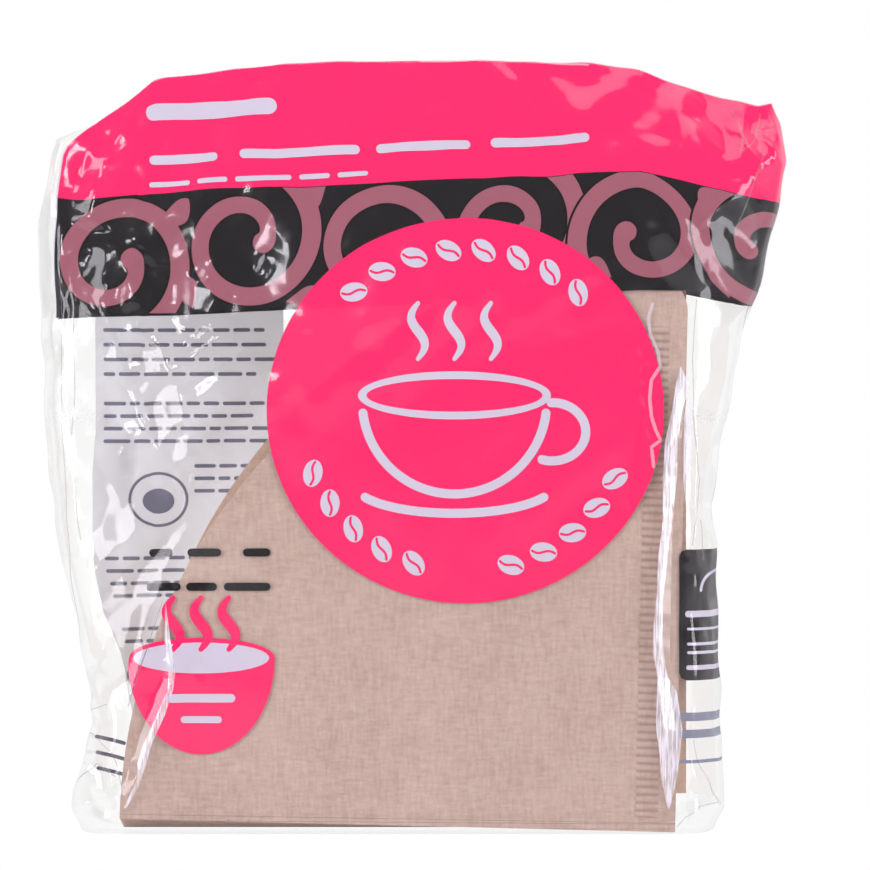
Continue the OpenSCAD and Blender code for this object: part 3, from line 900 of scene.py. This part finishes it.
# Side label: a black plate with round corners at the right, with an arch and fine rows in pale ink, and
# grey rows under it. Three more grey rows lie low on the left of the back.
plate = dense([(64, 36), (84, 36), (84, 66.6), (64, 66.6),
               (62.8, 66.1), (62.3, 64.9), (62.3, 37.7), (62.8, 36.5)])
field("plate_print", [plate], 1.5, black)
plate_rows = [bar(64.5, 84, z, z, width)
              for z, width in ((51.5, 1.5), (48, 0.6), (44.5, 0.7), (42.5, 0.7), (39, 1.1))]
plate_rows.append(stroke(arc(72.5, 57, 5, 4.5, 0, 180), 0.7))
field("plate_rows_print", plate_rows, 0.8, pale)
grey_rows = [bar(62.8, 84, z, z, width) for z, width in ((27.5, 2.0), (23.5, 2.0), (17, 0.8))]
field("grey_rows_print", grey_rows, 1.2, grey)
corner_rows = [bar(-75, -69.5, z, z - 1.8, 0.9) for z in (21.2, 17.4, 13.6)]
field("corner_rows_print", corner_rows, 1.2, grey, "back")


# Panel: thin white ink on the back of the bag, seen through the film beside the filters. It has fine
# grey rows and two cups seen from above, printed on both faces of the white.
panel = dense([(-31, 124), (-75.8, 124), (-75.8, 94), (-76.5, 84), (-76.5, 62), (-74.4, 52), (-70.4, 41.4),
               (-68.5, 31), (-66.5, 20), (-66, 8), (-31, 8)])
field("panel_print", [panel], 1.6, white, "back")
chance = np.random.default_rng(5)
row_start, row_end, dash_gap = -73.5, -33, 1.7
panel_rows = []
for z in (118.5, 115, 111.5, 108, 101, 98, 95, 92, 86, 83, 80, 64, 61, 58, 55, 47, 44):
    x = row_start + max(0, 62 - z) * 0.25
    if z in (86, 83, 80):
        x = -52
    while x < row_end - 4:
        dash = chance.uniform(1.6, 5.5)
        panel_rows.append(bar(x, min(x + dash, row_end), z, z, 0.9))
        x += dash + dash_gap
panel_cups = [arc(-61, 78, 7.2, 6.6), arc(-61, 78, 6.5, 5.9), arc(-61, 77.6, 3.8, 3.0),
              arc(-63, 36, 6, 4), arc(-63, 36, 5.4, 3.4)]
for name, layer in (("inner", 2.3), ("outer", 1.2)):
    field(f"panel_rows_print_{name}", panel_rows, layer, grey, "back")
    field(f"panel_cups_print_{name}", panel_cups, layer, grey, "back")


# Fold highlights: along the sharpest folds a painted highlight lies in the film, a milky white in fine
# upright ribs, as film also turns a little milky where it is folded sharply. Finer creases cross the clear
# margins as thin grey lines of painted shade. They lie just inside the film.
def painted_highlight_film():
    # Painted highlight: a milky white whose cover follows fine upright ribs.
    material, wire = new_material("painted_highlight_film")
    upright = wire.make("Mapping", Vector=wire.make("TexCoord", 3), Scale=(2600, 300, 190))
    ribs = wire.make("TexNoise", Vector=upright, Scale=1.0)
    highlight_alpha = wire.make("ValToRGB", sets={"stops": [(0.34, 0.3), (0.6, 0.86)]}, Fac=ribs)
    shader = wire.make("BsdfPrincipled", Base_Color=linear(240, 234, 248), Roughness=0.3, Alpha=highlight_alpha)
    wire.make("OutputMaterial", Surface=shader)
    return material


fold_highlight_paint = painted_highlight_film()
# Painted highlights: a pinkish white laid along a crease on the disc and along the top edge.
crease_highlight_paint = printing_ink("painted_crease_highlight", linear(244, 226, 246), 0.4)
crease_shade_paint = printing_ink("crease_shade", linear(150, 150, 153), 0.4)
right_pleat_highlight_outline = dense([
    (62.6, 109.4), (64.7, 105.0), (63.1, 99.6), (61.9, 91.6), (61.8, 82.8), (60.7, 73.6), (59.6, 64.8),
    (58.6, 55.9), (58.4, 49.6), (58.6, 42.3), (59.6, 36.9), (61.8, 33.4), (63.1, 24.5), (62.6, 19.2),
    (61.8, 12.9), (60.5, 7.5), (59.8, 5.8), (59.3, 7.9), (58.2, 12.9), (57.7, 19.2), (56.9, 24.5),
    (57.0, 31.3), (57.2, 36.9), (56.1, 42.3), (56.3, 49.6), (57.0, 55.9), (57.3, 64.8), (58.5, 73.6),
    (58.4, 82.8), (58.9, 91.6), (60.7, 99.6), (61.4, 105.0)])
beside_pleat_highlight_outline = dense([
    (64.0, 101.9), (65.7, 99.1), (65.4, 92.1), (64.7, 82.8), (64.0, 75.3), (63.3, 82.8), (63.3, 92.1),
    (63.5, 98.0)])
left_pleat_highlight_outline = dense([
    (-57.6, 54.7), (-56.4, 45.4), (-55.2, 38.8), (-55.9, 33.7), (-57.6, 28.5), (-60.8, 21.5),
    (-62.2, 16.4), (-63.9, 11.7), (-66.9, 6.1), (-67.4, 6.5), (-64.3, 13.1), (-64.3, 16.4),
    (-62.7, 21.5), (-59.7, 28.1), (-57.1, 33.7), (-56.9, 38.8), (-57.8, 45.4)])
disc_crease_highlight = dense([
    (56.1, 123.9), (55.1, 120.6), (55.6, 116.7), (57.2, 113.2), (57.9, 109.4), (55.8, 106.1),
    (55.4, 101.9), (55.8, 97.7), (56.8, 94.5), (57.9, 92.1), (55.8, 90.5), (56.3, 86.0)], closed=False)
top_edge_highlight = dense([(1.8, 181.8), (13.5, 182.0), (27.5, 181.9), (41.6, 180.8)], closed=False)
field("right_pleat_highlight", [right_pleat_highlight_outline, beside_pleat_highlight_outline], 0.4, fold_highlight_paint)
field("left_pleat_highlight", [left_pleat_highlight_outline], 0.4, fold_highlight_paint)
field("crease_highlight_strokes", [stroke(disc_crease_highlight, 0.8), stroke(top_edge_highlight, 0.5)], 0.4, crease_highlight_paint)
# Painted shade: thin grey lines along the creases of the clear margins.
creases = [
    [(-83.0, 137.5), (-82.3, 117.8), (-82.3, 96.8), (-80.9, 73.4), (-79.1, 52.4), (-77.2, 33.7)],
    [(-79.5, 124.8), (-79.1, 106.1), (-80.0, 89.8), (-77.7, 68.7)],
    [(-58.3, 54.7), (-61.3, 45.4), (-63.9, 37.9), (-66.4, 30.2)],
    [(-81.9, 31.3), (-76.7, 28.5), (-71.1, 30.4)],
    [(-80.9, 21.5), (-75.3, 23.1), (-70.2, 19.2), (-67.8, 10.3)],
    [(-80.0, 10.3), (-74.9, 16.4), (-69.7, 13.6)],
    [(66.4, 124.8), (65.4, 110.8), (65.9, 94.5), (67.1, 82.8), (65.4, 67.6)],
    [(79.4, 124.8), (76.2, 106.1), (73.4, 89.8), (70.1, 73.4)],
    [(67.3, 73.4), (68.7, 64.1)],
    [(65.9, 22.0), (68.2, 15.0), (72.4, 6.5)],
    [(61.7, 1.9), (67.3, 6.5), (72.4, 7.0)],
    [(75.5, 170.2), (78.0, 165.1), (77.1, 159.5), (80.6, 162.7), (82.3, 169.3)],
    [(82.7, 159.9), (79.4, 150.6), (75.7, 139.8)],
]
strokes = [stroke(dense(path, closed=False), 0.28) for path in creases]
field("crease_shade_lines", strokes, 0.6, crease_shade_paint)


# Studio: a white lit floor and a white backdrop, soft lamps at both sides and above, and a level camera
# with a long lens whose frame is that of the photo.
pixel_mm, frame_pixels = 0.2338, 870
camera_away, front_depth = 1.25, 0.0175
bpy.ops.mesh.primitive_plane_add(size=6, location=(0, 0, -0.0002))
floor = bpy.context.object
floor.name = "floor"
material, wire = new_material("studio_floor")
rays = wire.make("LightPath")
lit = wire.make("BsdfDiffuse", Color=(0.9, 0.9, 0.9))
glow = wire.make("Emission", Color=(1, 1, 1), Strength=1.0)
wire.make("OutputMaterial", Surface=wire.make("MixShader", i0=rays * 0.65 + 0.35, i1=lit, i2=glow))
floor.data.materials.append(material)

world = bpy.data.worlds.new("studio")
bpy.context.scene.world = world
world.use_nodes = True
world.node_tree.nodes.clear()
wire = Wire(world.node_tree)
camera_ray = wire.make("LightPath", 0)
glossy_ray = wire.make("LightPath", 3)
through_ray = wire.make("LightPath", 6)
seen = wire.make("Math", sets={"operation": "MAXIMUM"}, i0=camera_ray, i1=through_ray)
backward = wire.make("SeparateXYZ", 1, i0=wire.make("TexCoord", 0))
backdrop = wire.make("Math", sets={"operation": "MULTIPLY_ADD", "use_clamp": True},
                     i0=backward, i1=3.0, i2=0.5)
strength = 0.43 + seen * 0.57 + glossy_ray * (backdrop * 0.8 - 0.24)
wire.make("OutputWorld", Surface=wire.make("Background", Color=(1, 1, 1), Strength=strength))


def lamp(name, place, aim, width, height, power):
    light = bpy.data.lights.new(name, "AREA")
    light.shape, light.size, light.size_y, light.energy = "RECTANGLE", width, height, power
    spot = bpy.data.objects.new(name, light)
    bpy.context.collection.objects.link(spot)
    spot.location = place
    direction = Vector(aim) - Vector(place)
    spot.rotation_euler = direction.to_track_quat("-Z", "Y").to_euler()


centre = (0, 0, 0.09)
lamp("left_strip", (-0.75, -0.55, 0.25), centre, 0.3, 0.9, 5.6)
lamp("right_strip", (0.8, -0.5, 0.25), centre, 0.38, 0.9, 6.8)
lamp("top_box", (0, -0.15, 1.1), centre, 0.9, 0.5, 3)
lamp("key_box", (-0.5, -0.9, 0.5), centre, 0.16, 0.16, 1.2)

camera = bpy.data.objects.new("camera", bpy.data.cameras.new("camera"))
bpy.context.collection.objects.link(camera)
camera.location = (5.3 * mm, -camera_away, 93.3 * mm)
camera.rotation_euler = (np.pi / 2, 0, 0)
camera.data.sensor_width = 36
camera.data.lens = camera.data.sensor_width * (camera_away - front_depth) / (pixel_mm * frame_pixels * mm)
camera.data.clip_start, camera.data.clip_end = 0.05, 50
scene = bpy.context.scene
scene.camera = camera
scene.view_settings.view_transform = "Standard"
scene.cycles.transparent_max_bounces = 24
